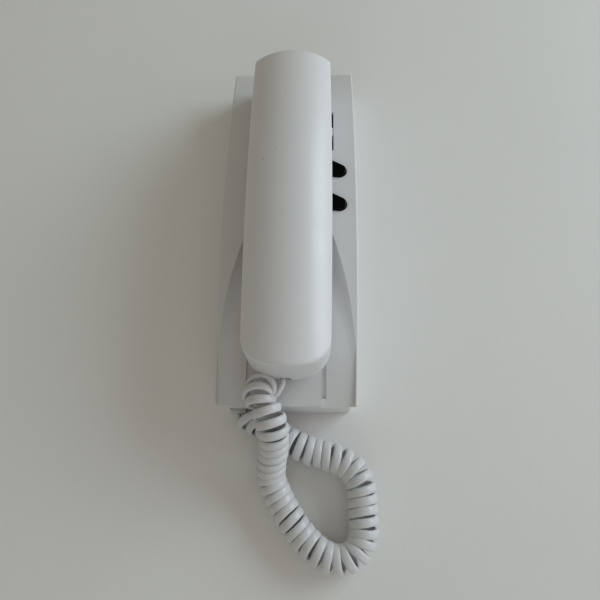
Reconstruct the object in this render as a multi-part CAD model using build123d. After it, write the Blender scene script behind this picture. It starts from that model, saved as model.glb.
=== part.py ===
from build123d import *

import os
from math import cos, pi, radians, sin, sqrt, tan

# Door intercom station with a corded handset, lying on its back.
# Millimetres. +Z points out of the front, +Y towards the top end, +X to the right.
# The origin is the middle of the rear face, so the station rests on z = 0.

# ---------------------------------------------------------------- driving dimensions
BASE_TOP = 102.9            # y of the top end
BASE_CORNER_LOW = -102.1    # y of the two bottom corners
BASE_END_BOW = 0.8          # the bottom end bows out by this much between its corners
BASE_HALF_W = 37.2          # half the width at mid length
BASE_SIDE_BOW = 1.3         # each side comes in by this much at the ends
SPAN = 102.5                # half the length over which both arches are measured
BASE_END_Z = 22.0           # height of the front face at the ends
BASE_ARCH = 8.0             # extra height at mid length
SEAM_Z = 19.0               # the cover sits on the tray here
TRAY_INSET = 2.4            # the tray's side walls stand in from the cover's edge
TRAY_END_INSET = 0.3
WALL = 2.0
FLOOR = 2.5

HANDSET_X = 1.0             # the handset's centre line
HANDSET_TOP = 87.8
HANDSET_LOW = -91.2
HANDSET_END_BOW = 7.0
HANDSET_END_CORNER = 15.0
HANDSET_HALF_W = 22.0
HANDSET_SIDE_BOW = 0.8      # narrower by this much a side at the top end
HANDSET_EDGE_Z = 54.5       # height of the front face's side edges at mid length
HANDSET_ARCH = 6.5
HANDSET_EDGE_ROUND = 2.2
HANDSET_CROWN = 9.8         # how far the front face stands above its side edges
HANDSET_REAR_Z = 30.8
HANDSET_SEAM_Z = 35.6
SHELL = 2.0

EAR_Y = 64.0
EAR_R = 15.5
EAR_FACE_Z = 22.8
MOUTH_Y = -62.0
MOUTH_R = 12.5
MOUTH_FACE_Z = 23.2
POCKET_GAP = 1.5            # clearance round each cap in its pocket
POCKET_DEPTH = 2.4          # clearance under each cap

SCOOP_INNER_X = 17.8        # side of the middle tongue
SCOOP_TOP_Y = 6.0
SCOOP_EDGE = ((8.4, 34.0), (31.5, -33.0), (48.6, -108.0))   # foot of the curved wall, before its round
SCOOP_ROUND = 10.0          # the curved wall is one large hollow round
SCOOP_FLOOR = [(40.0, 24.7), (-34.0, 24.9), (-58.0, 25.6), (-72.0, 25.3), (-86.0, 23.5), (-98.0, 21.4),
               (-108.0, 19.3)]                               # y and z along the floor
RIM = 1.2                   # thin lip left along the side of each recess
GROOVE_DEPTH = 1.2
GROOVE_W = 2.5

BUTTON_X = 22.3             # straight inner side of the buttons
BUTTON_TIP_X = 31.4
BUTTON_PROUD = 2.0
BUTTON_ROUND = 1.3
DOME_TOP_Z = 19.6           # the silicone dome under each button
DOOR_BUTTON_Y = 29.0
CALL_BUTTON_Y = 7.5

SLOT_X = 22.6
SLOT_W = 3.4
SLOT_Y = (43.0, 71.0)
KNOB_Y = 55.5
KNOB_L = 5.2
KNOB_TOP_Z = 29.4

BOARD_Z = 12.0
BOARD_T = 1.6

HOOK_PIVOT = (HANDSET_X, 24.0, 21.0)
HOOK_NUB_Y = (-11.0, -4.0)
HOOK_W = 6.0
PIN_R = 1.5

CORD_R = 1.3                # tails of the cord
COIL_R = 7.5                # outer radius of the curly part
CORD_HOLE_X = -0.8          # the cord's hole in the handset's round end
CORD_HOLE_Z = 31.2
JACK_X = -25.0
JACK_Z = 7.6
PLUG_END_Y = -104.6

# Route of the curly part's centre line, from the handset end to the base end.
COIL_ROUTE = [
    (-12.0, -93.6, 31.6),
    (-9.8, -102.4, 30.8),
    (-6.8, -109.6, 29.4),
    (-5.0, -116.4, 26.4),
    (-5.2, -123.0, 21.2),
    (-6.6, -129.6, 15.4),
    (-7.2, -136.0, 10.6),
    (-4.6, -142.6, 8.0),
    (-0.8, -149.2, 7.6),
    (3.6, -156.0, 7.6),
    (8.4, -162.6, 7.6),
    (14.6, -168.2, 7.6),
    (22.0, -172.8, 7.6),
    (29.8, -173.2, 7.6),
    (36.0, -169.0, 7.6),
    (38.6, -161.4, 7.6),
    (38.4, -152.8, 7.6),
    (38.4, -144.6, 7.6),
    (37.0, -135.6, 7.6),
    (31.4, -128.8, 7.6),
    (23.0, -125.4, 7.6),
    (13.4, -123.4, 7.6),
    (4.6, -119.4, 7.6),
    (-4.2, -114.8, 7.6),
    (-12.4, -111.2, 7.6),
    (-20.6, -110.4, 7.6),
]
HANDSET_TAIL = [(CORD_HOLE_X, -84.6, CORD_HOLE_Z), (CORD_HOLE_X, -90.6, CORD_HOLE_Z), (-1.2, -94.6, 31.1),
                (-3.6, -98.0, 30.5)]
BASE_TAIL = [(JACK_X, PLUG_END_Y, JACK_Z), (JACK_X, -107.8, JACK_Z), (-23.4, -110.3, JACK_Z),
             (-20.8, -110.5, JACK_Z)]

COVER_SCREWS = [(-26.0, 94.6), (26.0, 94.6), (8.0, -95.0)]
BOARD_POSTS = [(-26.0, -41.0), (26.0, -41.0), (-26.0, 71.0), (14.0, 71.0)]
HANDSET_SCREWS = [38.0, -34.0]      # y, on the handset's centre line
WALL_SCREW_Y = 41.75
RINGER_Y = -68.0

PARTS = {}


# ---------------------------------------------------------------- shared shapes
def arch_radius(rise):
    return (SPAN**2 + rise**2) / (2 * rise)


def base_front_z(y):
    radius = arch_radius(BASE_ARCH)
    return BASE_END_Z + BASE_ARCH - radius + sqrt(radius**2 - y**2)


def box(x0, x1, y0, y1, z0, z1):
    return Pos((x0 + x1) / 2, (y0 + y1) / 2, (z0 + z1) / 2) * Box(x1 - x0, y1 - y0, z1 - z0)


def rod(x, y, z0, z1, radius):
    return Pos(x, y, (z0 + z1) / 2) * Cylinder(radius, z1 - z0)


def rod_x(x0, x1, y, z, radius):
    return Pos((x0 + x1) / 2, y, z) * Rot(0, 90, 0) * Cylinder(radius, x1 - x0)


def rod_y(x, y0, y1, z, radius):
    return Pos(x, (y0 + y1) / 2, z) * Rot(90, 0, 0) * Cylinder(radius, y1 - y0)


def side_radius(bow, span):
    return span**2 / (2 * bow)


def side_x(y, half_width, bow, span, inset=0.0):
    radius = side_radius(bow, span)
    return half_width - radius + sqrt((radius - inset) ** 2 - y**2)


def base_side_x(y, inset=0.0):
    return side_x(y, BASE_HALF_W, BASE_SIDE_BOW, SPAN, inset)


def base_prism(inset, end_inset, corner, z0, z1):
    """The base's outline, inset at the sides and at the ends, between two heights."""
    top = BASE_TOP - end_inset
    low = BASE_CORNER_LOW + end_inset
    x_top, x_mid, x_low = base_side_x(top, inset), BASE_HALF_W - inset, base_side_x(low, inset)
    edges = [
        Line((-x_top, top), (x_top, top)),
        ThreePointArc((x_top, top), (x_mid, 0), (x_low, low)),
        ThreePointArc((x_low, low), (0, low - BASE_END_BOW), (-x_low, low)),
        ThreePointArc((-x_low, low), (-x_mid, 0), (-x_top, top)),
    ]
    face = make_face(edges)
    face = fillet(face.vertices(), corner)
    return extrude(Pos(0, 0, z0) * face, z1 - z0)


def under_base_front(drop, z0):
    """Everything from z0 up to the arched front face lowered by drop."""
    y = SPAN + 5
    top = base_front_z(y) - drop
    peak = BASE_END_Z + BASE_ARCH - drop
    edges = [
        Line((-y, z0), (y, z0)),
        Line((y, z0), (y, top)),
        ThreePointArc((y, top), (0, peak), (-y, top)),
        Line((-y, top), (-y, z0)),
    ]
    return extrude(Plane.YZ * make_face(edges), 50, both=True)


def handset_outline(inset):
    """Bowed sides, straight top end and a bowed bottom end with large round corners."""
    side_r = side_radius(HANDSET_SIDE_BOW, HANDSET_TOP)
    centre = side_r - HANDSET_HALF_W
    reach = side_r - inset
    top, low = HANDSET_TOP - inset, HANDSET_LOW + inset
    corner_y = low + HANDSET_END_BOW
    x_top = sqrt(reach**2 - top**2) - centre
    x_low = sqrt(reach**2 - corner_y**2) - centre
    x_mid = HANDSET_HALF_W - inset
    edges = [
        Line((-x_top, top), (x_top, top)),
        ThreePointArc((x_top, top), (x_mid, 0), (x_low, corner_y)),
        ThreePointArc((x_low, corner_y), (0, low), (-x_low, corner_y)),
        ThreePointArc((-x_low, corner_y), (-x_mid, 0), (-x_top, top)),
    ]
    face = make_face(edges)
    top_corners = [v for v in face.vertices() if v.Y > 0]
    face = fillet(top_corners, max(2.6 - inset, 0.6))
    end_corners = [v for v in face.vertices() if abs(v.Y - corner_y) < 0.01]
    return fillet(end_corners, HANDSET_END_CORNER - inset)


def handset_turned(section):
    """A cross-section carried along the handset's lengthwise arch."""
    centre_z = HANDSET_EDGE_Z - arch_radius(HANDSET_ARCH)
    axis = Axis((0, 0, centre_z), (1, 0, 0))
    return revolve(Plane.XZ * section, axis, 16).rotate(axis, -8)


def handset_band(z0, z1):
    return handset_turned(Pos(0, (z0 + z1) / 2) * Rectangle(60, z1 - z0))


def handset_solid(inset, z0):
    radius = (HANDSET_HALF_W**2 + HANDSET_CROWN**2) / (2 * HANDSET_CROWN)
    centre = HANDSET_EDGE_Z + HANDSET_CROWN - radius
    section = Pos(0, centre) * Circle(radius - inset)
    section &= Pos(0, z0 + 20) * Rectangle(2 * HANDSET_HALF_W + 2, 40)
    return handset_turned(section) & extrude(handset_outline(inset), 90)


def shift(shape):
    return Pos(HANDSET_X, 0, 0) * shape


def edges_between(shape, z0, z1):
    return [e for e in shape.edges() if z0 < e.center().Z < z1]


def smooth_tube(points, radius):
    """Straight runs joined by the largest tangent arcs the runs allow."""
    radii = []
    for a, b, c in zip(points, points[1:], points[2:]):
        before, after = Vector(*b) - Vector(*a), Vector(*c) - Vector(*b)
        turn = before.get_angle(after)
        radii.append(0.45 * min(before.length, after.length) / tan(radians(turn / 2)))
    print("radii", [round(r, 1) for r in radii])
    path = FilletPolyline(*points, radius=radii)
    start = Plane(origin=path @ 0, z_dir=path % 0)
    tube = sweep(start * Circle(radius), path=path)
    print("tube volume", round(tube.volume), "section x length", round(pi * radius**2 * path.length),
          "length", round(path.length, 1))
    return tube


# ---------------------------------------------------------------- base: tray and cover
def make_tray():
    tray = base_prism(TRAY_INSET, TRAY_END_INSET, 2.4, 0, SEAM_Z)
    tray = fillet(edges_between(tray, -0.1, 0.1), 0.8)
    tray -= base_prism(TRAY_INSET + WALL, TRAY_END_INSET + WALL, 1.0, FLOOR, SEAM_Z + 1)
    for x, y in COVER_SCREWS:
        tray += rod(x, y, FLOOR - 0.5, SEAM_Z, 3.6)
    for x, y in BOARD_POSTS:
        tray += rod(x, y, FLOOR - 0.5, BOARD_Z, 3.0)
    for x, y in COVER_SCREWS:
        tray -= rod(x, y, -1, 4.0, 3.1)
        tray -= rod(x, y, -1, SEAM_Z + 1, 1.6)
    for x, y in BOARD_POSTS:
        tray -= rod(x, y, 5.0, BOARD_Z + 1, 1.1)
    for y in (-WALL_SCREW_Y, WALL_SCREW_Y):
        tray -= rod(0, y, -1, FLOOR + 1, 2.25)
    tray -= rod(0, 0, -1, FLOOR + 1, 9.0)
    tray -= box(JACK_X - 4.6, JACK_X + 4.6, BASE_CORNER_LOW - 3, BASE_CORNER_LOW + 6, JACK_Z - 4.2, JACK_Z + 4.2)
    return tray


def above_scoop_floor(drop):
    """Everything above the recess's floor, or above a level that far below it."""
    floor = [(y, z - drop) for y, z in SCOOP_FLOOR]
    (y0, z0), (y1, z1) = floor[0], floor[-1]
    edges = [Spline(floor, tangents=[(-1, 0), (-1, -0.2)]), Line((y1, z1), (y1, 60.0)),
             Line((y1, 60.0), (y0, 60.0)), Line((y0, 60.0), (y0, z0))]
    return extrude(Plane.YZ * make_face(edges), 60)


def scoop_air(grow):
    """The air of the right finger recess, or the same grown by a wall."""
    start, middle, end = [(x + grow, y) for x, y in SCOOP_EDGE]
    plan = make_face([ThreePointArc(start, middle, end), Line(end, (2.0, end[1])),
                      Line((2.0, end[1]), (2.0, start[1])), Line((2.0, start[1]), start)])
    air = above_scoop_floor(grow) & extrude(plan, 70)
    foot = [e for e in edges_between(air, 15, 28) if e.center().X > 10 and e.length > 60]
    air = fillet(foot, SCOOP_ROUND)
    inner = SCOOP_INNER_X - grow
    rim = [(base_side_x(y, RIM - grow), y) for y in (SCOOP_TOP_Y + grow, -50.0, -108.0)]
    limits = make_face([ThreePointArc(*rim), Line(rim[2], (inner, -108.0)),
                        Line((inner, -108.0), (inner, SCOOP_TOP_Y + grow)),
                        Line((inner, SCOOP_TOP_Y + grow), rim[0])])
    return air & extrude(limits, 70)


def button_outline(centre_y, grow):
    """Straight inner side, round tip that leans towards the bottom end."""
    wide = Pos(BUTTON_X - 0.1, centre_y + 1.2) * Circle(4.95 + grow)
    tip = Pos(BUTTON_TIP_X - 4.0, centre_y - 0.5) * Circle(4.0 + grow)
    face = make_hull(wide.edges() + tip.edges())
    keep = Pos(BUTTON_X - grow + 15, centre_y) * Rectangle(30, 30)
    face = face & keep
    corners = [v for v in face.vertices() if v.X < BUTTON_X - grow + 0.1]
    return fillet(corners, 1.0) if grow < 0.5 else face


def make_cover():
    cover = base_prism(0, 0, 1.0, SEAM_Z, 40) & under_base_front(0, SEAM_Z)
    front = [e for e in cover.edges() if e.center().Z > SEAM_Z + 1.5 and e.length > 10]
    cover = fillet(front, 0.9)
    wells = scoop_air(WALL)
    cavity = base_prism(2.2, 2.3, 0.6, SEAM_Z + 2, 40)
    cavity += base_prism(TRAY_INSET + WALL, TRAY_END_INSET + WALL, 0.6, SEAM_Z - 1, SEAM_Z + 3)
    cavity &= under_base_front(WALL, SEAM_Z - 1)
    cavity -= wells + mirror(wells, Plane.YZ)
    cover -= cavity
    ear_floor = EAR_FACE_Z - POCKET_DEPTH
    mouth_floor = MOUTH_FACE_Z - POCKET_DEPTH
    for y, radius, floor in ((EAR_Y, EAR_R, ear_floor), (MOUTH_Y, MOUTH_R, mouth_floor)):
        well = rod(HANDSET_X, y, floor - WALL, 40, radius + POCKET_GAP + WALL)
        cover += well & under_base_front(0.5, 0)
        cover -= rod(HANDSET_X, y, floor, 40, radius + POCKET_GAP)
    for x, y in COVER_SCREWS:
        boss = rod(x, y, SEAM_Z, 26, 3.6) & under_base_front(0.6, 0)
        cover += boss
        cover -= rod(x, y, SEAM_Z - 1, SEAM_Z + 2.2, 1.3)
    air = scoop_air(0.0)
    cover -= air
    cover -= mirror(air, Plane.YZ)
    groove = above_scoop_floor(GROOVE_DEPTH) & box(SCOOP_INNER_X, SCOOP_INNER_X + GROOVE_W, -98.5, -74.0, 0, 60)
    cover -= groove + mirror(groove, Plane.YZ)
    for y in (DOOR_BUTTON_Y, CALL_BUTTON_Y):
        cover -= extrude(button_outline(y, 0.3), 60)
    cover -= box(SLOT_X - SLOT_W / 2, SLOT_X + SLOT_W / 2, SLOT_Y[0], SLOT_Y[1], 15, 40)
    cover -= box(HANDSET_X - 3.6, HANDSET_X + 3.6, HOOK_NUB_Y[0] - 0.9, HOOK_NUB_Y[1] + 2.8, 20, 40)
    for k in range(-3, 4):
        cover -= box(HANDSET_X + 3 * k - 0.7, HANDSET_X + 3 * k + 0.7, MOUTH_Y - 7, MOUTH_Y + 7, 10, mouth_floor + 1)
    x, y, z = HOOK_PIVOT
    for x0 in (x - 9.0, x + 5.5):
        ear = box(x0, x0 + 3.5, y - 3.5, y + 3.5, z - 3.5, 35) & under_base_front(0.8, 0)
        cover += ear
    cover -= rod_x(x - 8.0, x + 8.0, y, z, PIN_R)
    return cover


# ---------------------------------------------------------------- base: inside
def make_board():
    board = box(-28.5, 28.5, -45.0, 75.0, BOARD_Z, BOARD_Z + BOARD_T)
    for x, y in BOARD_POSTS:
        board -= rod(x, y, 0, 30, 1.3)
    return fillet([e for e in board.edges() if abs(e.length - BOARD_T) < 0.01 and abs(e.center().X) > 28], 2.0)


def pan_screw(x, y, z_head, length, radius, up=True):
    """Pan head below z_head, shank above it when up, the other way round when not."""
    way = 1 if up else -1
    head = rod(x, y, *sorted((z_head, z_head - way * 1.6)), radius * 1.95)
    head = fillet([e for e in head.edges() if abs(e.center().Z - (z_head - way * 1.6)) < 0.01], 0.7)
    head += rod(x, y, *sorted((z_head - way * 0.2, z_head + way * length)), radius)
    slots = box(x - 0.3, x + 0.3, y - radius, y + radius, *sorted((z_head - way * 0.8, z_head - way * 2)))
    slots += box(x - radius, x + radius, y - 0.3, y + 0.3, *sorted((z_head - way * 0.8, z_head - way * 2)))
    return head - slots


def together(solids):
    return Compound(children=list(solids))


def make_terminal_block():
    block = box(-17.5, 17.5, 81.6, 91.0, FLOOR, 13.5)
    for k in range(5):
        x = -14.0 + 7 * k
        block -= rod(x, 86.3, 6.0, 20, 2.2)
        block -= box(x - 1.8, x + 1.8, 80, 84.5, 4.0, 7.6)
    return block


def make_terminal_screws():
    return together(rod(-14.0 + 7 * k, 86.3, 8.6, 12.6, 2.1) - box(-14.4 + 7 * k, -13.6 + 7 * k, 84, 89, 11.8, 13)
                    for k in range(5))


def make_ringer():
    frame = rod(0, RINGER_Y, 7.2, 15.6, 20.0) - rod(0, RINGER_Y, 9.0, 14.4, 18.6) - rod(0, RINGER_Y, 14, 16, 17.0)
    frame = frame - rod(0, RINGER_Y, 6, 10, 9.0)
    cone = make_face([Line((3, 9.6), (16.8, 14.4)), Line((16.8, 14.4), (16.8, 15.0)), Line((16.8, 15.0), (3, 10.2)),
                      Line((3, 10.2), (3, 9.6))])
    cone = Pos(0, RINGER_Y, 0) * revolve(Plane.XZ * cone, Axis.Z)
    cap = Pos(0, RINGER_Y, 0) * (rod(0, 0, 9.4, 11.2, 3.0))
    magnet = rod(0, RINGER_Y, FLOOR + 0.1, 8.6, 8.9)
    return frame, cone + cap, magnet


def make_dome(centre_y, top_z):
    """Silicone dome on the board that pushes the button back up."""
    x = (BUTTON_X + BUTTON_TIP_X) / 2
    low = BOARD_Z + BOARD_T
    outside = [(0, low), (4.6, low), (4.6, low + 0.8), (3.0, low + 3.6), (2.2, top_z), (0, top_z)]
    inside = [(0, low), (3.7, low), (2.3, low + 3.2), (0, low + 3.2)]
    solid = revolve(Plane.XZ * make_face(Polyline(*outside, close=True)), Axis.Z)
    solid -= revolve(Plane.XZ * make_face(Polyline(*inside, close=True)), Axis.Z)
    return Pos(x, centre_y - 0.5, 0) * solid


def button_levels(centre_y):
    front = base_front_z(centre_y)
    return front + BUTTON_PROUD, front - WALL - 0.6


def make_button(centre_y):
    top, flange = button_levels(centre_y)
    cap = extrude(Pos(0, 0, flange - 0.4) * button_outline(centre_y, 0.0), top - flange + 0.4)
    cap = fillet([e for e in cap.edges() if e.center().Z > top - 0.1], BUTTON_ROUND)
    cap += extrude(Pos(0, 0, flange - 1.2) * button_outline(centre_y, 1.0), 1.2)
    x = (BUTTON_X + BUTTON_TIP_X) / 2
    cap += rod(x, centre_y - 0.5, DOME_TOP_Z + 0.05, flange, 2.6)
    return cap


def make_knob():
    knob = box(SLOT_X - 1.3, SLOT_X + 1.3, KNOB_Y - KNOB_L / 2, KNOB_Y + KNOB_L / 2, 22.0, KNOB_TOP_Z)
    knob = fillet([e for e in knob.edges() if e.center().Z > KNOB_TOP_Z - 0.01], 0.6)
    for k in (-1.3, 0, 1.3):
        knob -= box(SLOT_X - 2, SLOT_X + 2, KNOB_Y + k - 0.25, KNOB_Y + k + 0.25, KNOB_TOP_Z - 0.45, KNOB_TOP_Z + 1)
    return knob + box(SLOT_X - 1.0, SLOT_X + 1.0, KNOB_Y - 1.6, KNOB_Y + 1.6, 19.0, 22.2)


def make_volume_control():
    low = BOARD_Z + BOARD_T
    body = box(SLOT_X - 4.2, SLOT_X + 4.2, 40.5, 73.5, low, low + 4.5)
    body -= box(SLOT_X - 1.6, SLOT_X + 1.6, 42.5, 71.5, low + 1.5, low + 6)
    return body


def make_volume_stem():
    low = BOARD_Z + BOARD_T
    return box(SLOT_X - 1.4, SLOT_X + 1.4, KNOB_Y - 3.0, KNOB_Y + 3.0, low + 1.8, 19.0)


def make_hook_lever():
    x, y, z = HOOK_PIVOT
    lever = rod_x(x - HOOK_W / 2, x + HOOK_W / 2, y, z, 3.4)
    lever += box(x - HOOK_W / 2, x + HOOK_W / 2, HOOK_NUB_Y[0], y, z - 1.0, z + 2.0)
    nub = box(x - HOOK_W / 2, x + HOOK_W / 2, HOOK_NUB_Y[0], HOOK_NUB_Y[1], z, HANDSET_REAR_Z - 0.4)
    nub = fillet([e for e in nub.edges() if e.center().Z > HANDSET_REAR_Z - 0.5 and e.length > 5.5], 1.6)
    lever += nub
    return lever - rod_x(x - 10, x + 10, y, z, PIN_R + 0.05)


def make_hook_switch():
    low = BOARD_Z + BOARD_T
    body = box(HANDSET_X - 3.0, HANDSET_X + 3.0, 2.0, 14.8, low, low + 5.2)
    body = fillet([e for e in body.edges() if e.center().Z > low + 5.1], 0.5)
    return body + rod(HANDSET_X, 6.0, low + 5, HOOK_PIVOT[2] - 1.05, 0.9)


def make_hook_spring():
    x, y, z = HOOK_PIVOT
    path = Helix(pitch=0.85, height=1.7, radius=2.25)
    ring = sweep(Plane(origin=path @ 0, z_dir=path % 0) * Circle(0.35), path=path)
    return Pos(x + 3.4, y, z) * Rot(0, 90, 0) * ring


def make_jack():
    jack = box(JACK_X - 5.4, JACK_X + 5.4, -99.2, -86.0, FLOOR, JACK_Z + 5.2)
    return jack - box(JACK_X - 3.95, JACK_X + 3.95, -101.0, -88.0, JACK_Z - 3.35, JACK_Z + 3.35)


def make_plug():
    plug = box(JACK_X - 3.8, JACK_X + 3.8, PLUG_END_Y, -90.0, JACK_Z - 3.2, JACK_Z + 3.2)
    plug = fillet([e for e in plug.edges() if e.center().Y < PLUG_END_Y + 0.1], 0.8)
    return plug


# ---------------------------------------------------------------- handset
def make_handset_shells():
    outer = handset_solid(0.0, HANDSET_REAR_Z)
    outer = fillet(edges_between(outer, 44.0, 70.0), HANDSET_EDGE_ROUND)
    rear_edges = [e for e in outer.edges() if e.center().Z < HANDSET_REAR_Z + 0.5 and e.length > 3]
    outer = fillet(rear_edges, 4.6)
    inner = handset_solid(SHELL, HANDSET_REAR_Z + SHELL)
    inner_rear = [e for e in inner.edges() if e.center().Z < HANDSET_REAR_Z + SHELL + 0.5 and e.length > 3]
    inner = fillet(inner_rear, 2.6)
    hollow = outer - inner
    upper = handset_band(HANDSET_SEAM_Z, 80)
    lower = handset_band(20, HANDSET_SEAM_Z)
    front = shift(hollow & upper)
    rear = shift(hollow & lower)
    for y in HANDSET_SCREWS:
        front += shift(rod(0, y, HANDSET_SEAM_Z, 63, 3.6) & inner)
        front -= rod(HANDSET_X, y, 20, 48, 1.3)
        rear += shift(rod(0, y, 31.4, HANDSET_SEAM_Z - 0.9, 4.4) & handset_band(31.0, HANDSET_SEAM_Z))
        rear -= rod(HANDSET_X, y, 20, 31.6, 3.2)
        rear -= rod(HANDSET_X, y, 20, 40, 1.6)
    for y, radius, face_z, ring in ((EAR_Y, EAR_R, EAR_FACE_Z, 3.4), (MOUTH_Y, MOUTH_R, MOUTH_FACE_Z, 0.0)):
        cap = rod(HANDSET_X, y, face_z, 31.4, radius)
        cap = fillet([e for e in cap.edges() if e.center().Z < face_z + 0.1], 1.5)
        rear += cap
        bore = radius - 2.0
        rear -= rod(HANDSET_X, y, face_z + 1.8, 40, bore)
        rear -= rod(HANDSET_X, y, face_z - 1, face_z + 3, 0.9)
        for count, radius_at in ((6, 3.4), (12, 6.8)):
            for k in range(count):
                turn = radians(360 * k / count)
                rear -= rod(HANDSET_X + radius_at * cos(turn), y + radius_at * sin(turn), face_z - 1, face_z + 3, 0.9)
    hole = rod_y(CORD_HOLE_X + 1.3, -95, -84, CORD_HOLE_Z + 0.9, 3.0)
    return front - hole, rear - hole


def make_receiver():
    low = EAR_FACE_Z + 1.8
    gasket = rod(HANDSET_X, EAR_Y, low, low + 1.0, 13.2) - rod(HANDSET_X, EAR_Y, low - 1, low + 2, 10.0)
    frame = rod(HANDSET_X, EAR_Y, low + 1.0, low + 7.0, 13.2) - rod(HANDSET_X, EAR_Y, low, low + 5.8, 12.0)
    frame -= rod(HANDSET_X, EAR_Y, low, low + 8, 6.0)
    diaphragm = rod(HANDSET_X, EAR_Y, low + 1.2, low + 1.5, 11.9)
    magnet = rod(HANDSET_X, EAR_Y, low + 2.6, low + 9.6, 5.9)
    return gasket, frame, diaphragm, magnet


def make_microphone():
    low = MOUTH_FACE_Z + 1.8
    boot = rod(HANDSET_X, MOUTH_Y, low, low + 8.0, 7.6) - rod(HANDSET_X, MOUTH_Y, low + 1.2, low + 9, 4.9)
    boot -= rod(HANDSET_X, MOUTH_Y, low - 1, low + 2, 2.0)
    capsule = rod(HANDSET_X, MOUTH_Y, low + 1.2, low + 7.7, 4.85)
    return boot, fillet([e for e in capsule.edges() if e.center().Z > low + 7], 0.4)


def make_weight():
    bar = box(HANDSET_X - 7, HANDSET_X + 7, -24, 26, HANDSET_REAR_Z + SHELL + 0.1, HANDSET_REAR_Z + SHELL + 8)
    return fillet([e for e in bar.edges() if abs(e.length - 7.9) < 0.01], 2.0)


def make_cord_clamp():
    clamp = box(CORD_HOLE_X - 4.3, CORD_HOLE_X + 4.3, -84.6, -78.6, 29.2, 34.4)
    return clamp - rod_y(CORD_HOLE_X, -86, -78, CORD_HOLE_Z, CORD_R)


def build():
    PARTS["rear_tray"] = make_tray()
    PARTS["base_cover"] = make_cover()
    PARTS["cover_screws"] = together(pan_screw(x, y, 4.0, 16.5, 1.25) for x, y in COVER_SCREWS)
    PARTS["circuit_board"] = make_board()
    PARTS["board_screws"] = together(pan_screw(x, y, BOARD_Z + BOARD_T, 7.5, 1.05, up=False) for x, y in BOARD_POSTS)
    top = BOARD_Z + BOARD_T
    PARTS["control_chip"] = box(-14, -2, -24, -8, top, top + 2.4)
    PARTS["capacitors"] = together(rod(x, y, top, top + 6.5, 3.0) for x, y in ((-18, 30), (-18, 40), (-10, -34)))
    PARTS["terminal_block"] = make_terminal_block()
    PARTS["terminal_screws"] = make_terminal_screws()
    PARTS["ringer_frame"], PARTS["ringer_cone"], PARTS["ringer_magnet"] = make_ringer()
    PARTS["door_button_dome"] = make_dome(DOOR_BUTTON_Y, DOME_TOP_Z)
    PARTS["call_button_dome"] = make_dome(CALL_BUTTON_Y, DOME_TOP_Z)
    PARTS["door_button"] = make_button(DOOR_BUTTON_Y)
    PARTS["call_button"] = make_button(CALL_BUTTON_Y)
    PARTS["volume_control_body"] = make_volume_control()
    PARTS["volume_control_slider"] = make_volume_stem()
    PARTS["volume_knob"] = make_knob()
    x, y, z = HOOK_PIVOT
    PARTS["hook_lever"] = make_hook_lever()
    PARTS["hook_pin"] = rod_x(x - 8.0, x + 8.0, y, z, PIN_R)
    PARTS["hook_spring"] = make_hook_spring()
    PARTS["hook_switch"] = make_hook_switch()
    PARTS["cord_jack"] = make_jack()
    PARTS["cord_plug"] = make_plug()
    PARTS["handset_front_shell"], PARTS["handset_rear_shell"] = make_handset_shells()
    PARTS["handset_screws"] = together(pan_screw(HANDSET_X, y, 31.6, 13.0, 1.25) for y in HANDSET_SCREWS)
    gasket, frame, diaphragm, magnet = make_receiver()
    PARTS["receiver_gasket"] = gasket
    PARTS["receiver_frame"] = frame
    PARTS["receiver_diaphragm"] = diaphragm
    PARTS["receiver_magnet"] = magnet
    PARTS["microphone_boot"], PARTS["microphone_capsule"] = make_microphone()
    PARTS["handset_weight"] = make_weight()
    PARTS["cord_clamp"] = make_cord_clamp()
    PARTS["handset_cord_coil"] = smooth_tube(COIL_ROUTE, COIL_R)
    PARTS["handset_cord_tail"] = smooth_tube(HANDSET_TAIL, CORD_R) - PARTS["handset_cord_coil"]
    PARTS["base_cord_tail"] = smooth_tube(BASE_TAIL, CORD_R)


build()
os.makedirs("parts", exist_ok=True)
for name, shape in PARTS.items():
    export_step(shape, f"parts/{name}.step")
    print(name, len(shape.solids()), round(shape.volume))
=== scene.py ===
from math import pi, radians

import bpy
import numpy as np
from mathutils import Matrix, Vector


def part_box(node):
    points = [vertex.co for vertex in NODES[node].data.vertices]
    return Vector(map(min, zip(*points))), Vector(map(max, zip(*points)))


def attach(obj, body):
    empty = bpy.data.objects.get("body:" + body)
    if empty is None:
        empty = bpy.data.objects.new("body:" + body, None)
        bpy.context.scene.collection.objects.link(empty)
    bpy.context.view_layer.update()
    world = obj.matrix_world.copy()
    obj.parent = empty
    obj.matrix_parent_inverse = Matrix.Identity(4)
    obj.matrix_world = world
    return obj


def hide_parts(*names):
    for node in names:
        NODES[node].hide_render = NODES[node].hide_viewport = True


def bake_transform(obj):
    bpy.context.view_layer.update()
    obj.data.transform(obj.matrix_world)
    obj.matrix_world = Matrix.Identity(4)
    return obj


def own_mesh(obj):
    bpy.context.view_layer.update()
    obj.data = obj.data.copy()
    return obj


# Door intercom station with a corded handset, lying on its back on a pale table.
# Metres. +Z points out of the station's front, +Y towards its top end.

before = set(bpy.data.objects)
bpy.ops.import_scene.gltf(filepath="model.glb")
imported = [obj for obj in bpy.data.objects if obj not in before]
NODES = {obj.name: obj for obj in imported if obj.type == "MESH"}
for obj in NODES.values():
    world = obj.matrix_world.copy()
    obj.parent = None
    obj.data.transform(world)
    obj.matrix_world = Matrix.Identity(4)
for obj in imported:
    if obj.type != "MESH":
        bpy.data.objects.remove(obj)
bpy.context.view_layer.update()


# ---------------------------------------------------------------- camera
CAMERA_PLACE = (0.0176, -0.1532, 0.3108)
CAMERA_TILT = 20.35         # degrees, how far it looks towards the top end
CAMERA_LEAN = 2.02          # degrees to the left
CAMERA_ROLL = 0.23
LENS = 34.8


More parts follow.
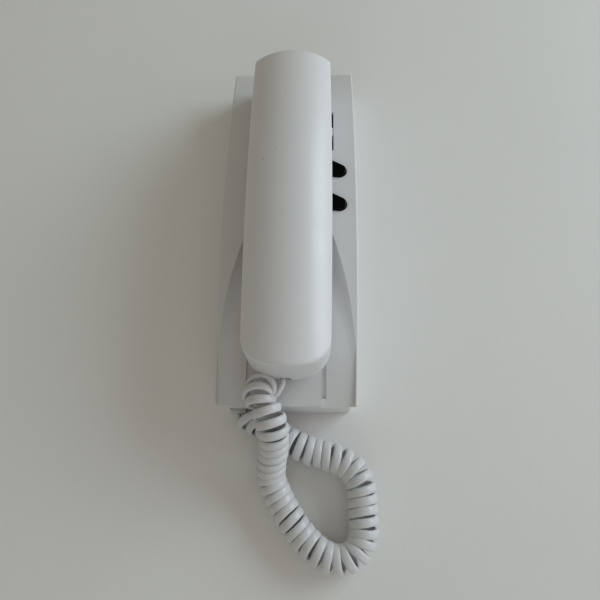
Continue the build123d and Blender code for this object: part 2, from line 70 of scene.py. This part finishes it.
def make_camera():
    data = bpy.data.cameras.new("camera")
    data.lens = LENS
    data.sensor_width = 36.0
    camera = bpy.data.objects.new("camera", data)
    turn = Matrix.Rotation(radians(CAMERA_ROLL), 4, "Z")
    turn @= Matrix.Rotation(radians(CAMERA_TILT), 4, "X")
    turn @= Matrix.Rotation(radians(CAMERA_LEAN), 4, "Y")
    camera.matrix_world = Matrix.Translation(CAMERA_PLACE) @ turn
    bpy.context.scene.collection.objects.link(camera)
    bpy.context.scene.camera = camera


make_camera()


# ---------------------------------------------------------------- materials
# Noise scales, in turns per metre.
DRIFT_SCALE = 18.0          # slow change of tone across a moulding
HANDLING_SCALE = 60.0       # patches of gloss and dullness
GRAIN_SCALE = 2500.0        # fine grain of a mould


def shader(name, colour, roughness, **sockets):
    """A new material, with its node tree and its Principled shader."""
    material = bpy.data.materials.new(name)
    material.use_nodes = True
    tree = material.node_tree
    surface = tree.nodes["Principled BSDF"]
    surface.inputs["Base Color"].default_value = (*colour, 1.0)
    surface.inputs["Roughness"].default_value = roughness
    for socket, value in sockets.items():
        surface.inputs[socket.replace("_", " ")].default_value = value
    return material, tree, surface


def texture(tree, scale, detail=3.0, stretch=(1.0, 1.0, 1.0)):
    """Noise that lies fixed in the object, in turns per metre."""
    place = tree.nodes.new("ShaderNodeTexCoord")
    mapping = tree.nodes.new("ShaderNodeMapping")
    noise = tree.nodes.new("ShaderNodeTexNoise")
    mapping.inputs["Scale"].default_value = stretch
    noise.inputs["Scale"].default_value = scale
    noise.inputs["Detail"].default_value = detail
    tree.links.new(place.outputs["Object"], mapping.inputs["Vector"])
    tree.links.new(mapping.outputs["Vector"], noise.inputs["Vector"])
    return noise.outputs["Fac"]


def ramp(tree, source, low, high, start=0.35, end=0.65):
    """Maps a noise from start..end to low..high."""
    node = tree.nodes.new("ShaderNodeMapRange")
    node.inputs["From Min"].default_value = start
    node.inputs["From Max"].default_value = end
    node.inputs["To Min"].default_value = low
    node.inputs["To Max"].default_value = high
    tree.links.new(source, node.inputs["Value"])
    return node.outputs["Result"]


def tint(tree, source, first, second):
    """Mixes two colours by a value."""
    mix = tree.nodes.new("ShaderNodeMix")
    mix.data_type = "RGBA"
    mix.inputs[6].default_value = (*first, 1.0)
    mix.inputs[7].default_value = (*second, 1.0)
    tree.links.new(source, mix.inputs[0])
    return mix.outputs[2]


def bump(tree, surface, source, depth):
    """Raises the surface by the source's value times depth, in metres."""
    node = tree.nodes.new("ShaderNodeBump")
    node.inputs["Distance"].default_value = depth
    tree.links.new(source, node.inputs["Height"])
    tree.links.new(node.outputs["Normal"], surface.inputs["Normal"])


def moulded(name, colour, roughness, grain=0.00001, grain_scale=GRAIN_SCALE, warm=0.02, **sockets):
    """Moulded plastic: slow tone drift, uneven gloss from handling, and a fine surface grain."""
    material, tree, surface = shader(name, colour, roughness, **sockets)
    slow = texture(tree, DRIFT_SCALE, 4.0)
    darker = [c * (1.0 - warm * (1.0 + 0.5 * k)) for k, c in enumerate(colour)]
    tree.links.new(tint(tree, ramp(tree, slow, 0.0, 1.0), darker, colour), surface.inputs["Base Color"])
    patches = texture(tree, HANDLING_SCALE, 5.0)
    tree.links.new(ramp(tree, patches, roughness * 0.9, roughness * 1.12), surface.inputs["Roughness"])
    bump(tree, surface, texture(tree, grain_scale, 2.0), grain)
    return material


def metal(name, colour, roughness, stretch=(1.0, 1.0, 1.0)):
    """Bare metal with fine drawn lines and slight tarnish."""
    material, tree, surface = shader(name, colour, roughness, Metallic=1.0)
    dull = [c * 0.82 for c in colour]
    tarnish = ramp(tree, texture(tree, 300.0, 4.0), 0.0, 1.0)
    tree.links.new(tint(tree, tarnish, dull, colour), surface.inputs["Base Color"])
    gloss = ramp(tree, texture(tree, 900.0, 5.0), roughness * 0.8, roughness * 1.3)
    tree.links.new(gloss, surface.inputs["Roughness"])
    bump(tree, surface, texture(tree, 1800.0, 3.0, stretch), 0.00001)
    return material


def circuit_board():
    """Green lacquer over tracks that show as faint squares and lines."""
    material, tree, surface = shader("board_fine", (0.02, 0.16, 0.06), 0.35)
    place = tree.nodes.new("ShaderNodeTexCoord")
    tracks = tree.nodes.new("ShaderNodeTexBrick")
    tracks.inputs["Scale"].default_value = 160.0
    tracks.inputs["Mortar Size"].default_value = 0.03
    tracks.inputs["Color1"].default_value = (0.02, 0.15, 0.055, 1.0)
    tracks.inputs["Color2"].default_value = (0.018, 0.13, 0.05, 1.0)
    tracks.inputs["Mortar"].default_value = (0.05, 0.25, 0.1, 1.0)
    tree.links.new(place.outputs["Object"], tracks.inputs["Vector"])
    tree.links.new(tracks.outputs["Color"], surface.inputs["Base Color"])
    bump(tree, surface, tracks.outputs["Fac"], 0.00003)
    return material


def handset_plastic():
    """The handset's plastic, with two tiny dark scuffs on its upper face."""
    material, tree, surface = shader("handset_plastic_fine", HANDSET_COLOUR, 0.42, Coat_Weight=0.25,
                                     Coat_Roughness=0.2)
    slow = ramp(tree, texture(tree, DRIFT_SCALE, 4.0), 0.0, 1.0)
    drift = tint(tree, slow, [c * 0.98 for c in HANDSET_COLOUR], HANDSET_COLOUR)
    place = tree.nodes.new("ShaderNodeTexCoord")
    for spot, size, dark in SCUFFS:
        apart = tree.nodes.new("ShaderNodeVectorMath")
        apart.operation = "DISTANCE"
        apart.inputs[1].default_value = spot
        tree.links.new(place.outputs["Object"], apart.inputs[0])
        near = ramp(tree, apart.outputs["Value"], dark, 0.0, size * 0.5, size * 1.3)
        mix = tree.nodes.new("ShaderNodeMix")
        mix.data_type = "RGBA"
        mix.inputs[7].default_value = (*SCUFF_COLOUR, 1.0)
        tree.links.new(near, mix.inputs[0])
        tree.links.new(drift, mix.inputs[6])
        drift = mix.outputs[2]
    tree.links.new(drift, surface.inputs["Base Color"])
    tree.links.new(ramp(tree, texture(tree, HANDLING_SCALE, 5.0), 0.37, 0.47), surface.inputs["Roughness"])
    bump(tree, surface, texture(tree, GRAIN_SCALE, 2.0), 0.000008)
    return material


HANDSET_COLOUR = (0.762, 0.757, 0.768)
SCUFF_COLOUR = (0.12, 0.11, 0.10)
# Place, radius and darkness of each scuff.
SCUFFS = [((-0.0120, 0.0152, 0.0612), 0.0005, 0.35), ((-0.0055, 0.0207, 0.0632), 0.0006, 0.18)]

MATERIALS = {
    "cover_plastic": moulded("cover_plastic_fine", (0.705, 0.70, 0.708), 0.32, grain=0.000006),
    "tray_plastic": moulded("tray_plastic_fine", (0.74, 0.74, 0.745), 0.4, grain=0.00001),
    "handset_plastic": handset_plastic(),
    "button_plastic": moulded("button_plastic_fine", (0.0012, 0.0012, 0.0012), 0.12, grain=0.000002,
                              Specular_IOR_Level=0.07),
    "knob_plastic": moulded("knob_plastic_fine", (0.8, 0.8, 0.8), 0.35),
    "lever_plastic": moulded("lever_plastic_fine", (0.78, 0.78, 0.76), 0.45),
    "cord": moulded("cord_fine", (0.675, 0.675, 0.69), 0.34, grain=0.00002, grain_scale=1500.0),
    "clear_plastic": moulded("clear_plastic_fine", (0.80, 0.81, 0.80), 0.22, grain=0.000002,
                             Transmission_Weight=0.3, IOR=1.5),
    "black_resin": moulded("black_resin_fine", (0.016, 0.016, 0.018), 0.55, grain=0.00002),
    "board": circuit_board(),
    "capacitor_sleeve": moulded("capacitor_sleeve_fine", (0.03, 0.04, 0.09), 0.25, grain=0.000004, warm=0.08),
    "terminal_plastic": moulded("terminal_plastic_fine", (0.05, 0.22, 0.10), 0.45, warm=0.06),
    "speaker_paper": moulded("speaker_paper_fine", (0.05, 0.048, 0.045), 0.85, grain=0.00006,
                             grain_scale=1200.0, warm=0.12),
    "silicone": moulded("silicone_fine", (0.55, 0.56, 0.56), 0.6, grain=0.00001, Subsurface_Weight=0.1),
    "foam_rubber": moulded("foam_rubber_fine", (0.03, 0.03, 0.03), 0.9, grain=0.0001,
                           grain_scale=900.0, warm=0.1),
    "steel": metal("steel_fine", (0.62, 0.62, 0.60), 0.28),
    "magnet_steel": metal("magnet_steel_fine", (0.45, 0.45, 0.46), 0.4),
    "weight_steel": metal("weight_steel_fine", (0.40, 0.39, 0.37), 0.5, (1.0, 8.0, 1.0)),
}


def dress(obj):
    """Gives a CAD node the finished material of each of its slots."""
    for slot in obj.material_slots:
        name = slot.material.name.split(".")[0]
        if name in MATERIALS:
            slot.material = MATERIALS[name]


for node in NODES.values():
    dress(node)


# ---------------------------------------------------------------- curly cord
HANDSET_TAIL = [(-0.0008, -0.0846, 0.0312), (-0.0008, -0.0906, 0.0312), (-0.0012, -0.0946, 0.0311),
                (-0.0036, -0.0980, 0.0305)]
COIL_ROUTE = [
    (-0.0120, -0.0936, 0.0316), (-0.0098, -0.1024, 0.0308), (-0.0068, -0.1096, 0.0294),
    (-0.0050, -0.1164, 0.0264), (-0.0052, -0.1230, 0.0212), (-0.0066, -0.1296, 0.0154),
    (-0.0072, -0.1360, 0.0106), (-0.0046, -0.1426, 0.0080), (-0.0008, -0.1492, 0.0076),
    (0.0036, -0.1560, 0.0076), (0.0084, -0.1626, 0.0076), (0.0146, -0.1682, 0.0076),
    (0.0220, -0.1728, 0.0076), (0.0298, -0.1732, 0.0076), (0.0360, -0.1690, 0.0076),
    (0.0386, -0.1614, 0.0076), (0.0384, -0.1528, 0.0076), (0.0384, -0.1446, 0.0076),
    (0.0370, -0.1356, 0.0076), (0.0314, -0.1288, 0.0076), (0.0230, -0.1254, 0.0076),
    (0.0134, -0.1234, 0.0076), (0.0046, -0.1194, 0.0076), (-0.0042, -0.1148, 0.0076),
    (-0.0124, -0.1112, 0.0076), (-0.0206, -0.1104, 0.0076),
]
BASE_TAIL = [(-0.0250, -0.1046, 0.0076), (-0.0250, -0.1078, 0.0076), (-0.0234, -0.1103, 0.0076),
             (-0.0208, -0.1105, 0.0076)]

RIBBON_WIDTH = 0.0044
RIBBON_THICK = 0.0025
RIBBON_SIDES = 14
RIBBON_POWER = 0.74         # 1 is an ellipse, less is nearer to a flat ribbon with round edges
COIL_RADIUS = 0.0075 - RIBBON_THICK / 2
STEPS_PER_TURN = 40
AXIS_STEP = 0.0001
TAIL_STEP = 0.0007
# Distance along the coil, as a share of its length, and the pitch of its turns there.
PITCH = [(0.0, 0.0036), (0.035, 0.0038), (0.05, 0.0058), (0.09, 0.0058), (0.105, 0.0039), (0.14, 0.0041),
         (0.20, 0.0043), (0.26, 0.0045), (0.30, 0.0048), (0.45, 0.0048), (0.58, 0.0049), (0.70, 0.0050),
         (0.74, 0.0056), (0.78, 0.0048), (0.92, 0.0046), (1.0, 0.0048)]
# Turns that lie over at the two ends: turn (counted from that end), shift in x, y and z,
# swing seen from above and lean upwards, both in degrees.
HANDSET_FAN = [(0.0, 0.0004, -0.0013, 0.0, -50, 64), (0.25, 0.0002, -0.0010, 0.0, -47, 60),
               (1.25, -0.0024, -0.0010, 0.0, -27, 32), (2.25, -0.0019, -0.0002, 0.0, -24, 8),
               (3.25, -0.0006, 0.0006, 0.0008, -12, 0), (4.25, -0.0001, 0.0006, 0.0008, -6, 0),
               (7.0, 0, 0, 0, 0, 0)]
BASE_FAN = [(0.0, -0.0018, 0.0036, 0.0, -60, 0), (0.25, -0.0017, 0.0036, 0.0, -58, 0),
            (1.25, -0.0011, 0.0016, 0.0, -50, 0), (2.25, -0.0014, 0.0016, 0.0, -32, 0),
            (3.25, -0.0013, 0.0010, 0.0, -14, 0), (8.0, 0, 0, 0, 0, 0)]
LOOSE_TURNS = 4.5           # the first turns hang more open than the rest
LOOSE_BY = 0.11
LOOSE_FADE = 2.5            # turns over which they tighten
# Unevenness of the turns, as waves: size, radians per turn, phase.
SWING_WAVE = (0.05, 0.9, 0.4)
LEAN_WAVES = [(0.09, 1.7, 0.6), (0.05, 0.71, 0.0)]
TIGHT_WAVES = [(0.025, 2.3, 0.0), (0.02, 5.1, 1.0)]
# Runs between the coil and the tails: points, and how far each end reaches straight on.
LEAD_IN = (12, 0.003)
LEAD_OUT = (16, 0.004)


def spline_line(points, step):
    """Evenly spaced points along the NURBS spline that has these control points."""
    curve = bpy.data.curves.new("route", "CURVE")
    curve.dimensions = "3D"
    curve.resolution_u = 24
    spline = curve.splines.new("NURBS")
    spline.points.add(len(points) - 1)
    for place, point in zip(spline.points, points):
        place.co = (*point, 1.0)
    spline.order_u = 3
    spline.use_endpoint_u = True
    holder = bpy.data.objects.new("route", curve)
    bpy.context.scene.collection.objects.link(holder)
    bpy.context.view_layer.update()
    mesh = bpy.data.meshes.new_from_object(holder)
    line = np.array([v.co for v in mesh.vertices])
    bpy.data.objects.remove(holder)
    bpy.data.curves.remove(curve)
    bpy.data.meshes.remove(mesh)
    along = np.concatenate([[0.0], np.cumsum(np.linalg.norm(np.diff(line, axis=0), axis=1))])
    count = max(2, round(along[-1] / step))
    places = np.linspace(0.0, along[-1], count + 1)
    return np.stack([np.interp(places, along, line[:, k]) for k in range(3)], axis=1), places


def wave(at, size, rate, phase):
    return size * np.sin(rate * at + phase)


def unit(vectors):
    return vectors / np.linalg.norm(vectors, axis=-1, keepdims=True)


def helix():
    """Centre line of the coiled ribbon and, at each point, the direction of its width."""
    axis, along = spline_line(COIL_ROUTE, AXIS_STEP)
    ahead = unit(np.gradient(axis, axis=0))
    share = along / along[-1]
    pitch = np.interp(share, [p[0] for p in PITCH], [p[1] for p in PITCH])
    turns = np.concatenate([[0.0], np.cumsum(np.diff(along) / pitch[1:])])
    at = np.arange(0.0, int(turns[-1] - 0.5) + 0.501, 1.0 / STEPS_PER_TURN)
    centre = np.stack([np.interp(at, turns, axis[:, k]) for k in range(3)], axis=1)
    ahead = unit(np.stack([np.interp(at, turns, ahead[:, k]) for k in range(3)], axis=1))
    fan = np.zeros((len(at), 5))
    for table, turn in ((HANDSET_FAN, at), (BASE_FAN, at[-1] - at)):
        fan += np.stack([np.interp(turn, [row[0] for row in table], [row[k] for row in table])
                         for k in range(1, 6)], axis=1)
    centre += fan[:, :3]
    swing, lean = np.radians(fan[:, 3:4]), np.radians(fan[:, 4:5])
    swing = swing + wave(at, *SWING_WAVE)[:, None]
    lean = lean + sum(wave(at, *row) for row in LEAN_WAVES)[:, None]
    up = np.array([0.0, 0.0, 1.0])
    turned = ahead * np.cos(swing) + np.cross(up, ahead) * np.sin(swing)
    normal = unit(turned * np.cos(lean) + up * np.sin(lean))
    top = unit(up - (normal @ up)[:, None] * normal)
    side = np.cross(normal, top)
    angle = 2 * pi * at - pi / 2
    tighter = sum((size + wave(at, size, rate, phase)) / 2 for size, rate, phase in TIGHT_WAVES)
    looser = LOOSE_BY * np.clip((LOOSE_TURNS + LOOSE_FADE - at) / LOOSE_FADE, 0.0, 1.0)
    radius = COIL_RADIUS * (1.0 - tighter) * (1.0 + looser)
    offset = np.cos(angle)[:, None] * top + np.sin(angle)[:, None] * side
    return centre + radius[:, None] * offset, normal


def bridge(start, start_way, end, end_way, count, reach):
    """A smooth run from one point and direction to another, without its two ends."""
    t = np.linspace(0.0, 1.0, count + 2)[1:-1, None]
    a, b = start + reach * start_way, end - reach * end_way
    return (1 - t) ** 3 * start + 3 * t * (1 - t) ** 2 * a + 3 * t**2 * (1 - t) * b + t**3 * end


def cord_line():
    """The whole cord: tail from the handset, curly part, tail to the plug."""
    coil, width = helix()
    first, _ = spline_line(HANDSET_TAIL, TAIL_STEP)
    last, _ = spline_line(BASE_TAIL[1::-1], TAIL_STEP)
    lead_in = bridge(first[-1], unit(first[-1] - first[-2]), coil[0], unit(coil[1] - coil[0]), *LEAD_IN)
    lead_out = bridge(coil[-1], unit(coil[-1] - coil[-2]), last[0], unit(last[1] - last[0]), *LEAD_OUT)
    line = np.concatenate([first, lead_in, coil, lead_out, last])
    upright = np.array([0.0, 0.0, 1.0])
    blend_in = np.linspace(0.0, 1.0, len(lead_in))[:, None]
    blend_out = np.linspace(0.0, 1.0, len(lead_out))[:, None]
    widths = np.concatenate([
        np.tile(upright, (len(first), 1)), unit((1 - blend_in) * upright + blend_in * width[0]), width,
        unit((1 - blend_out) * width[-1] + blend_out * upright), np.tile(upright, (len(last), 1))])
    return line, widths


def ribbon_section():
    """Flat cord with fully round edges and slightly crowned faces."""
    turn = np.linspace(0.0, 2 * pi, RIBBON_SIDES, endpoint=False)
    across = np.sign(np.cos(turn)) * np.abs(np.cos(turn)) ** RIBBON_POWER * RIBBON_WIDTH / 2
    through = np.sign(np.sin(turn)) * np.abs(np.sin(turn)) ** RIBBON_POWER * RIBBON_THICK / 2
    return across, through


def make_cord():
    """The flat cord as one closed mesh: a ring of the section at each point of its line."""
    line, widths = cord_line()
    ahead = unit(np.gradient(line, axis=0))
    wide = unit(widths - np.sum(widths * ahead, axis=1, keepdims=True) * ahead)
    thick = np.cross(ahead, wide)
    across, through = ribbon_section()
    rings = line[:, None] + across[None, :, None] * wide[:, None] + through[None, :, None] * thick[:, None]
    count, size = len(line), len(across)
    vertices = rings.reshape(-1, 3)
    faces = []
    for i in range(count - 1):
        for k in range(size):
            n = (k + 1) % size
            faces.append((i * size + k, i * size + n, (i + 1) * size + n, (i + 1) * size + k))
    faces.append(tuple(range(size))[::-1])
    faces.append(tuple((count - 1) * size + k for k in range(size)))
    mesh = bpy.data.meshes.new("cord")
    mesh.from_pydata(vertices.tolist(), [], faces)
    mesh.shade_smooth()
    mesh.materials.append(MATERIALS["cord"])
    cord = bpy.data.objects.new("cord", mesh)
    bpy.context.scene.collection.objects.link(cord)
    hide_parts("handset_cord_coil", "handset_cord_tail", "base_cord_tail")
    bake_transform(cord)


make_cord()


# ---------------------------------------------------------------- rubber domes under the buttons
# Section of a dome, as shares of its radius and height: up the outside, then down the inside.
DOME_OUTSIDE = [(1.0, 0.0), (1.0, 0.10), (0.97, 0.14), (0.86, 0.24), (0.74, 0.42), (0.65, 0.60), (0.57, 0.80),
                (0.49, 0.96), (0.44, 1.0)]
DOME_INSIDE = [(0.48, 0.53), (0.52, 0.50), (0.66, 0.26), (0.80, 0.0)]
DOME_SIDES = 40


def make_dome(node):
    """The hollow dome that a button presses flat."""
    low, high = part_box(node)
    x, y = (low[0] + high[0]) / 2, (low[1] + high[1]) / 2
    radius, height = (high[0] - low[0]) / 2, high[2] - low[2]
    turn = np.linspace(0.0, 2 * pi, DOME_SIDES, endpoint=False)
    section = DOME_OUTSIDE + DOME_INSIDE
    vertices = [(x + share * radius * np.cos(t), y + share * radius * np.sin(t), low[2] + up * height)
                for share, up in section for t in turn]
    faces = []
    count = len(section)
    crown, roof = len(DOME_OUTSIDE) - 1, len(DOME_OUTSIDE)
    for i in range(count):
        if i == crown:
            continue
        n = (i + 1) % count
        for k in range(DOME_SIDES):
            m = (k + 1) % DOME_SIDES
            faces.append((i * DOME_SIDES + k, i * DOME_SIDES + m, n * DOME_SIDES + m, n * DOME_SIDES + k))
    faces.append(tuple(crown * DOME_SIDES + k for k in range(DOME_SIDES)))
    faces.append(tuple(roof * DOME_SIDES + k for k in range(DOME_SIDES))[::-1])
    mesh = bpy.data.meshes.new(node + "_rubber")
    mesh.from_pydata(vertices, [], faces)
    mesh.materials.append(MATERIALS["silicone"])
    dome = bpy.data.objects.new(node + "_rubber", mesh)
    bpy.context.scene.collection.objects.link(dome)
    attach(dome, "base")
    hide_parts(node)
    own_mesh(dome)


make_dome("door_button_dome")
make_dome("call_button_dome")


# ---------------------------------------------------------------- table and light
TABLE_COLOUR = (0.865, 0.862, 0.845)
TABLE_HALF = 1.5
LIT_POINT = (0.0, -0.03, 0.0)
# Name, place, size, power and colour of each light: the window, its lower part and the room's near side.
LIGHTS = [
    ("window", (1.35, 0.62, 0.72), (1.1, 0.8), 13.0, (0.77, 0.94, 1.0)),
    ("low_window", (1.5, -0.3, 0.5), (1.1, 0.8), 3.4, (0.9, 0.8, 1.0)),
    ("room_side", (0.2, -1.7, 0.8), (2.0, 1.0), 4.6, (0.8, 0.97, 1.0)),
]


def make_table():
    mesh = bpy.data.meshes.new("table")
    corners = [(x * TABLE_HALF, y * TABLE_HALF, 0.0) for x, y in ((-1, -1), (1, -1), (1, 1), (-1, 1))]
    mesh.from_pydata(corners, [], [(0, 1, 2, 3)])
    material, tree, surface = shader("table_top", TABLE_COLOUR, 0.55)
    cloud = ramp(tree, texture(tree, 5.0, 5.0), 0.0, 1.0)
    dull = [c * 0.975 for c in TABLE_COLOUR]
    tree.links.new(tint(tree, cloud, dull, TABLE_COLOUR), surface.inputs["Base Color"])
    tree.links.new(ramp(tree, texture(tree, 40.0, 4.0), 0.5, 0.6), surface.inputs["Roughness"])
    bump(tree, surface, texture(tree, 260.0, 3.0), 0.00008)
    mesh.materials.append(material)
    table = bpy.data.objects.new("table", mesh)
    bpy.context.scene.collection.objects.link(table)


def make_light(name, place, size, power, colour):
    data = bpy.data.lights.new(name, "AREA")
    data.shape = "RECTANGLE"
    data.size, data.size_y = size
    data.energy = power
    data.color = colour
    light = bpy.data.objects.new(name, data)
    light.location = place
    light.rotation_euler = (Vector(LIT_POINT) - Vector(place)).to_track_quat("-Z", "Y").to_euler()
    bpy.context.scene.collection.objects.link(light)


def make_world(colour, strength):
    world = bpy.data.worlds.new("room")
    world.use_nodes = True
    sky = world.node_tree.nodes["Background"]
    sky.inputs["Color"].default_value = (*colour, 1.0)
    sky.inputs["Strength"].default_value = strength
    bpy.context.scene.world = world


make_table()
make_world((1.0, 0.925, 0.80), 0.277)
for light in LIGHTS:
    make_light(*light)
bpy.context.scene.view_settings.view_transform = "Standard"
